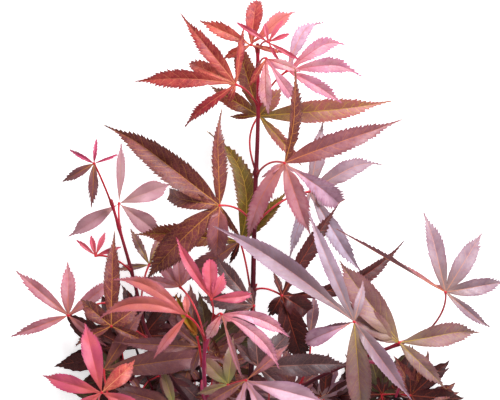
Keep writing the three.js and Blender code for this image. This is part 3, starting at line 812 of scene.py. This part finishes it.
LOBE_TRAITS = {
    "crown": {84: {"peak": 0.6, "fine": 0.7, "pitch": 1.9, "look": "scarlet"},
        154: {"peak": 0.55, "wide": 0.95},
        42: {"peak": 0.58, "hook": -0.14, "drip": 0.8, "look": "shell"}, -23: 0.6},
    # left_red's 154 lobe lies in shadow; the lighter coral look on it is painted light
    "left_red": {154: {"peak": 0.65, "fine": 0.8, "wide": 0.9, "look": "coral"},
        -144: {"look": "crimson", "wide": 0.75, "bow": -0.04}, 179: {"peak": 0.55},
        129: {"peak": 0.42, "bow": -0.03}, -113: 0.7, 83: 0.8},
    "right_rose": {4: {"hook": -0.08, "bow": 0.04}, 33: {"hook": -0.14, "bow": 0.04},
        64: {"hook": -0.2, "bow": 0.05, "look": "orchid"}, -35: {"bow": 0.04}},
    "front_rose": {-56: {"peak": 0.65, "cut": 0.9, "fine": 1.0, "look": "blush"},
        -122: {"wide": 0.8, "look": "scarlet"}, -92: {"bow": -0.03}},
    # The tan look on olive_behind's 5, 52 and -47 lobes is partly painted light: lighter than russet
    # where these lobes catch the light
    "olive_behind": {5: {"peak": 0.45, "look": "tan", "long": 1.1, "hook": 0.03}, 182: 0.5,
        52: {"wide": 0.8, "look": "tan"}, -47: "tan"},
    "right_hand": {84: {"wide": 0.8, "look": "burgundy", "bow": 0.05, "long": 1.08},
        -34: {"peak": 0.6, "cut": 0.88, "look": "orchid", "fine": 1.0, "depth": 1.8, "pitch": 2.2},
        -71: {"wide": 0.95, "look": "dusk"}, -112: {"look": "dusk", "bow": -0.05},
        -150: {"wide": 0.6, "look": "dusk"}, 19: {"peak": 0.4}},
    # right_grey's -108 and -61 lobes take the paler grey look as painted light, to make up for the
    # shade they lie in
    "right_grey": {27: {"wide": 1.2, "hook": -0.1, "drip": 0.85}, -108: {"wide": 0.9, "look": "haze"},
        80: 1.3, -61: "haze"},
    "left_hand": {92: {"wide": 0.85, "peak": 0.36, "drip": 0.8}, 142: {"peak": 0.38},
        # left_hand's -94 lobe is tilted away from the lamp; the lighter wine look on it is painted
        # light
        171: {"wide": 0.65, "cut": 0.75, "fine": 0.8}, -58: 0.6, -94: "wine", -134: 1.1},
    "left_upright": {89: 0.85},
    "olive_left": {101: {"bow": -0.07, "hook": 0.03, "long": 1.15}, 175: "russet",
        -110: {"wide": 0.5, "look": "dark"}, -146: "umber"},
    "right_dark": {25: {"wide": 0.62, "depth": 0.6, "bow": -0.05}, 58: 0.8, 110: 0.6,
        -73: {"wide": 1.5, "look": "dark"}, -32: {"cut": 0.85, "fine": 1.0},
        -120: {"wide": 1.2, "look": "dark"}},
    "right_front": {75: {"wide": 0.8, "look": "grey"}, 113: 0.8, 145: {"peak": 0.5, "wide": 0.85},
        -54: 1.1, -158: {"peak": 0.7, "fine": 0.9, "wide": 0.8, "look": "orchid"},
        -85: {"wide": 1.35, "look": "bronze"}},
    "right_olive": {133: 1.15},
    "far_right": {150: {"turn": 68, "wide": 0.5, "look": "wine"}},
    "left_far": {88: 0.6},
    "front_left": {151: {"bow": -0.06, "hook": 0.08}, 180: {"bow": -0.07}},
    "front_top": {128: 0.7, 93: {"peak": 0.6, "fine": 0.8, "wide": 1.1},
        5: {"wide": 1.3, "peak": 0.6, "fine": 0.8}, 55: {"wide": 0.9, "depth": 2.2, "pitch": 1.3}},
    "front_middle": {-73: {"wide": 0.4, "look": "dusk"}, -20: {"bow": 0.06, "wide": 1.15},
        # front_middle's -120 lobe faces away from the lamp; the petal look on it is painted light
        -42: {"bow": 0.05}, -120: {"wide": 1.7, "look": "petal"}},
    "front_low": {40: "wine", -150: "umber", -15: 1.15},
    "left_top": {84: {"wide": 0.4, "look": "magenta"}, 20: {"wide": 0.4, "look": "magenta"},
        150: {"wide": 0.4, "look": "magenta"}, -92: 1.3},
    "low_middle": {107: "sage"},
    "corner": {42: "coral"},
}


def look_of(leaf):
    """The look of a leaf: its own one, or that of its kind."""
    return LOOKS.get(leaf["short"], SLOT_OF[leaf["name"]])


def traits_of(leaf, lobe):
    """The habit and the look of one lobe: those of its kind, its leaf and itself, in that order."""
    habit = {**HABITS[SLOT_OF[leaf["name"]]], **TRAITS.get(leaf["short"], {})}
    wide = habit.get("wide", 1)
    out = lobe["keels"][0] - leaf["hub"]
    heading = np.degrees(np.arctan2(out[1], out[0]))
    for given, own in LOBE_TRAITS.get(leaf["short"], {}).items():
        if abs((given - heading + 180) % 360 - 180) < SAME_HEADING:
            if not isinstance(own, dict):
                own = {"look" if isinstance(own, str) else "wide": own}
            habit.update(own)
            habit["wide"] = wide * own.get("wide", 1)
    return habit, habit.get("look", look_of(leaf))


# %% Build the leaves
STALK_RADIUS = 0.52 * MM
HUB_RADIUS = 0.8 * MM
seats = {name: [] for name in limbs}

for leaf in leaves:
    rng = np.random.default_rng([ord(letter) for letter in leaf["short"]])
    skins, looks = Skins(), [look_of(leaf)]
    for lobe, seams in zip(leaf["lobes"], seams_of(leaf["lobes"])):
        habit, look = traits_of(leaf, lobe)
        looks += [look] if look not in looks else []
        add_lobe(skins, lobe, habit, rng, ACROSS, seams, looks.index(look))
    seat = point(leaf["stalk"], 0.0)
    limb, place = nearest(seat)
    axis = limb["path"][place]
    away = unit(seat - axis)
    seats[limb["name"]].append((place, away))
    root = axis + away * 0.4 * limb["taper"][place]
    add_stalk(skins, leaf["stalk"], root, STALK_RADIUS, len(looks))
    add_knot(skins, leaf["hub"], HUB_RADIUS, len(looks))
    finishes = [BLADES[look] for look in looks] + [STALK]
    piece(leaf["short"] + "_leaf", skins, finishes, [leaf["name"]])
print(len(leaves), "leaves built")

# %% [markdown]
# ## Bark
#
# The stems of a young maple are smooth and a little shiny. What relief there is comes from three
# things: a swelling wherever a pair of leaves is set, small pale breathing pores that stand up from
# the bark, and faint ridges along the stem. The rings of the stem get all three in their radii.

# %% Build the stems
STEM_SIDES, SHORT_STEM_SIDES = 28, 14
SHORT_STEM = 40  # rings
LEAD = 4  # rings of a side stem inside the stem that carries it
SWELLING = 1.5 * MM  # half length of the swelling at a node
SWELLING_HEIGHT, PORE_HEIGHT, SCAR_DEPTH = 0.4, 0.05, 0.05  # in shares of the radius
PORE_WIDTH, PORE_LENGTH = 0.2 * MM, 0.55 * MM  # half of each


def add_stem(skins, path, taper, nodes, rng, sides):
    """A stem whose radius at angle a is the taper x (1 + 0.02 sin(5a + 9 share) + 0.012 sin(11a -
    23 share)), plus 0.4 exp(-(d/swelling)^2) of it at distance d from each node. Pores at scattered
    places stand up by 0.05 of it, and the ring just past each node is 0.05 of it deep."""
    count = len(path)
    share = np.linspace(0, 1, count)[:, None]
    angle = np.linspace(0, 2 * pi, sides, endpoint=False)[None]
    run = np.arange(count)[:, None] * np.linalg.norm(path[1] - path[0])
    relief = 1 + 0.02 * np.sin(5 * angle + 9 * share) + 0.012 * np.sin(11 * angle - 23 * share)
    ring = np.zeros((count, sides))
    for place in nodes:
        d = (run - run[place]) / SWELLING
        relief = relief + SWELLING_HEIGHT * np.exp(-(d**2))
        ring = np.maximum(ring, np.exp(-((d - 0.5) / 0.16) ** 2))
    pores = np.zeros((count, sides))
    scattered = count // 4
    for where, turn in zip(rng.uniform(0, run[-1, 0], scattered), rng.uniform(0, 2 * pi, scattered)):
        off = np.angle(np.exp(1j * (angle - turn))) * taper[:, None]
        pore = np.exp(-((off / PORE_WIDTH) ** 2) - ((run - where) / PORE_LENGTH) ** 2)
        pores = np.maximum(pores, pore)
    relief = relief + PORE_HEIGHT * pores - SCAR_DEPTH * ring
    rings = tube(path, taper, sides, relief)
    spot = np.stack([share + 0 * angle, pores, ring], axis=-1)
    r = taper[:, None] / MM
    lie = np.stack([r * np.cos(angle), r * np.sin(angle), run / MM + 0 * angle], axis=-1)
    dome = 0.25 * taper[-1] * unit(path[-1] - path[-2])
    skins.add(rings, path[0], path[-1] + dome, 0, lie, spot)


for name, limb in limbs.items():
    rng = np.random.default_rng([ord(letter) for letter in name])
    skins = Skins()
    nodes = sorted({place for place, _ in seats[name]})
    path, taper = limb["path"], limb["taper"]
    if name != "leader":  # a side stem starts inside the one that carries it
        others = np.vstack([limbs[other]["path"] for other in limbs if other != name])
        root = others[np.linalg.norm(others - path[0], axis=1).argmin()]
        lead = np.linspace(0.25, 1, LEAD, endpoint=False)[:, None]
        path = np.vstack([root + (path[0] - root) * lead, path])
        taper = np.append(np.linspace(1.15, 1, LEAD) * taper[0], taper)
        nodes = [place + LEAD for place in nodes]
    finish = BARK if SLOT_OF[name] == "bark" else YOUNG_BARK
    sides = STEM_SIDES if len(path) > SHORT_STEM else SHORT_STEM_SIDES
    add_stem(skins, path, taper, nodes, rng, sides)
    piece(name + "_stem", skins, [finish], [name])
print(len(limbs), "stems built")

# %% [markdown]
# ## Buds
#
# In the angle between each stalk and the stem sits a small pointed bud, next year's shoot. It is a
# short tube that swells and closes to a tip.

# %% Build the buds
BUD_LENGTH = 2.6 * MM


def add_bud(skins, foot, ahead, length, sides=10, rows=9):
    """A pointed egg: radius 0.3 x length x sin(pi t^0.6)^0.8 at share t of a straight course."""
    t = np.linspace(0.02, 0.97, rows)
    path = foot + np.outer(t * length, ahead)
    radii = 0.3 * length * np.sin(pi * t**0.6) ** 0.8
    spot = np.zeros((rows, sides, 3))
    spot[..., 0] = t[:, None]
    skins.add(tube(path, radii, sides), foot, foot + length * ahead, 0, spot=spot)


skins = Skins()
for name, places in seats.items():
    path, taper = limbs[name]["path"], limbs[name]["taper"]
    for place, away in places:
        ahead = unit(path[min(place + 1, len(path) - 1)] - path[max(place - 1, 0)])
        foot = path[place] + 0.75 * taper[place] * away + 1.0 * MM * ahead
        add_bud(skins, foot, unit(ahead + 0.55 * away), BUD_LENGTH * (0.6 + 0.25 * taper[place] / MM))
piece("buds", skins, [BUD])
print(sum(len(places) for places in seats.values()), "buds built")

# %% [markdown]
# ## The crowded foliage
#
# Where the side shoots crowd together the solids are only masses. In their place grow twigs and small
# leaves by a rule: from the end of the twig that leads into a mass, shoots fan out to its edge, and
# each bears pairs of leaves at even steps and one pair at its end. A fixed seed makes every run
# alike. The rule doesn't look for room, so small leaves cross one another. The leaves of all masses
# are joined by colour, each colour one piece.

# %% Grow the twigs and the small leaves
SHOOTS_PER_MASS = 5
PAIRS_PER_SHOOT = 2
SMALL_LEAF = 27 * MM
LOBES_OF_SMALL = 5
CLEARANCE = 3.2 * MM  # of the end of a lobe's midrib above the surface; its tip and margins hang lower
FAN = radians(105)  # from a small leaf's heading to its outer lobes
EDGE = 0.7  # share of a mass's half size that the hubs keep within
REACH = 0.75  # share of a small leaf's size that a hub keeps from the edge of the frame
TWIG_RINGS = 22
TWIG_RADII = (0.75, 0.45)  # mm, at the foot and at the end
SPRAY_KINDS = ["dark", "umber", "burgundy", "slate", "moss", "mauve", "dark"]
HABIT_OF = {"umber": "burgundy", "slate": "dark", "moss": "olive"}


def bent(start, middle, end):
    """The course start (1-t)^2 + middle 2t(1-t) + end t^2, as coefficients, lowest first."""
    return np.array([start, 2 * (middle - start), start - 2 * middle + end])


def small_leaf(hub, heading, size, rng):
    """The lobes of a small leaf: they fan out evenly about its heading, the outer ones shorter, and
    each droops from the hub towards the surface without reaching it."""
    lobes = []
    for turn in np.linspace(-1, 1, LOBES_OF_SMALL):
        angle = heading + turn * FAN + rng.normal(0, radians(6))
        out = np.array([cos(angle), sin(angle), 0])
        length = size * (1 - 0.5 * turn**2) * rng.uniform(0.9, 1.1)
        droop = min(rng.uniform(0.1, 0.4) * length, hub[2] - CLEARANCE)
        reach = (length**2 - droop**2) ** 0.5
        tip = hub + out * reach - [0, 0, droop]
        middle = hub + out * 0.55 * reach + [0, 0, 0.06 * length]
        midrib = bent(hub, middle, tip)
        across = np.array([-sin(angle), cos(angle), 0])
        lobes.append({"midrib": midrib, "across": across, "half": length * rng.uniform(0.13, 0.17)})
    return lobes


sprays = {kind: Skins() for kind in dict.fromkeys(SPRAY_KINDS)}
twigs, spray_stalks = Skins(), Skins()
rng = np.random.default_rng(300)
small_leaves = 0
frame_low, frame_high = (np.array(corner[:2]) for corner in cad_box)
for mass in MASS_NODES:
    low, high = (np.array(corner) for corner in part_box(mass))
    centre, half = (low + high) / 2, (high - low) / 2
    start = limbs[mass.replace("_mass", "_twig")]["path"][-1]
    first = rng.uniform(0, 2 * pi)
    for k in range(SHOOTS_PER_MASS):
        heading = first + 2 * pi * k / SHOOTS_PER_MASS + rng.normal(0, 0.15)
        end = centre + half * [0.8 * cos(heading), 0.8 * sin(heading), rng.uniform(-0.3, 0.3)]
        middle = (start + end) / 2 + [0, 0, 0.25 * half[2]]
        course = bent(start, middle, end)
        path = at(course, np.linspace(0, 1, TWIG_RINGS))
        add_stem(twigs, path, np.linspace(*TWIG_RADII, TWIG_RINGS) * MM, [], rng, 8)
        kind = SPRAY_KINDS[rng.integers(len(SPRAY_KINDS))]
        for t in np.linspace(1, 0, PAIRS_PER_SHOOT, endpoint=False):
            node = point(course, t)
            for side in (-1, 1):
                turned = heading + side * (radians(35) if t == 1 else radians(75)) + rng.normal(0, 0.2)
                out = np.array([cos(turned), sin(turned), 0])
                hub = node + out * rng.uniform(6, 10) * MM
                off = np.clip(hub[:2] - centre[:2], -EDGE * half[:2], EDGE * half[:2])
                hub[:2] = centre[:2] + off
                hub[2] = node[2] + rng.uniform(-3, 4) * MM
                hub[2] = np.clip(hub[2], 1.6 * CLEARANCE, high[2] - 1 * MM)
                size = SMALL_LEAF * rng.uniform(0.75, 1.15)
                room = REACH * size
                hub[:2] = np.clip(hub[:2], frame_low + room, frame_high - room)
                lobes = small_leaf(hub, turned, size, rng)
                habit = {**HABITS[HABIT_OF.get(kind, kind)], "depth": 0.4, "drip": 0.4}
                for lobe, seams in zip(lobes, seams_of(lobes)):
                    add_lobe(sprays[kind], lobe, habit, rng, ACROSS_FEW, seams)
                stalk = bent(node, (node + hub) / 2 + [0, 0, 1.5 * MM], hub)
                add_stalk(spray_stalks, stalk, node - 0.3 * MM * out, 0.4 * MM, 0, sides=6, rows=9)
                small_leaves += 1
for number, (kind, skins) in enumerate(sprays.items()):
    piece("crowded_" + kind + "_leaves", skins, [BLADES[kind]], MASS_NODES if number == 0 else ())
piece("crowded_twigs", twigs, [BARK])
piece("crowded_stalks", spray_stalks, [STALK])
print(small_leaves, "small leaves grown")

# %% [markdown]
# ## Surface, light and camera
#
# The surface is a broad sheet of milky plastic, lit a little from below as on a light table. Light
# comes from all round, with one large soft lamp beyond the tip and to the right, which makes one
# half of each folded lobe paler than the other. The camera looks straight down from far off, so that
# near and far leaves keep their sizes.

# %% Set the stage
FLOOR_RADIUS = 9.0
FLOOR_THICKNESS = 0.01
GLOW = 0.55  # how brightly the surface is lit from below
SKY = 0.3  # how bright the light from all round is
low, high = (np.array(corner) for corner in cad_box)
size, centre = high - low, (high + low) / 2

floor_skin = Skins()
angle = np.linspace(0, 2 * pi, 96, endpoint=False)
rim = FLOOR_RADIUS * np.stack([np.cos(angle), -np.sin(angle), 0 * angle], axis=-1)
below = np.array([0, 0, -FLOOR_THICKNESS])
floor_skin.add(np.stack([rim + below, rim]), below, (0, 0, 0))
floor = placed("floor", floor_skin.mesh("floor"))
paper = Finish("pale_surface")
grain = paper.noise(300.0)
paper.shader.inputs["Emission Color"].default_value = (1, 1, 1, 1)
paper.shader.inputs["Emission Strength"].default_value = GLOW
surface = paper.done((0.93, 0.93, 0.93, 1), paper.step(grain, -2.0, 1.4), grain, 0.00002)
floor.data.materials.append(surface)

world = bpy.data.worlds.new("soft_sky")
bpy.context.scene.world = world
world.use_nodes = True
sky = world.node_tree.nodes["Background"].inputs
sky["Color"].default_value = (1, 1, 1, 1)
sky["Strength"].default_value = SKY


def lamp(name, offset, width, power, colour=(1, 1, 1)):
    """A square lamp at an offset from the branch's middle, turned to face it."""
    light = bpy.data.lights.new(name, "AREA")
    light.size, light.energy, light.color = width, power, colour
    holder = placed(name, light)
    holder.location = centre + offset
    holder.rotation_mode = "QUATERNION"
    holder.rotation_quaternion = (-Vector(offset)).to_track_quat("-Z", "Y")


lamp("key", (0.55, 0.95, 0.9), 0.7, 28, (0.97, 0.95, 1))
lamp("overhead", (-0.2, -0.1, 1.9), 1.4, 5)

CAMERA_HEIGHT = 2.2  # above the leader
SEEN_WIDTH = 1.017  # of the branch's own width
LOOK_AT = np.array([-0.015, 0.12])  # from the middle, in shares of the branch's width and length
camera = placed("camera", bpy.data.cameras.new("camera"))
bpy.context.scene.camera = camera
camera.location = (*(centre[:2] + LOOK_AT * size[:2]), limbs["leader"]["path"][-1][2] + CAMERA_HEIGHT)
camera.data.sensor_width = 36
camera.data.lens = camera.data.sensor_width * CAMERA_HEIGHT / (SEEN_WIDTH * size[0])
camera.data.clip_end = 100
bpy.context.scene.view_settings.view_transform = "Standard"
print("camera", [round(x, 3) for x in camera.location], "lens", round(camera.data.lens))
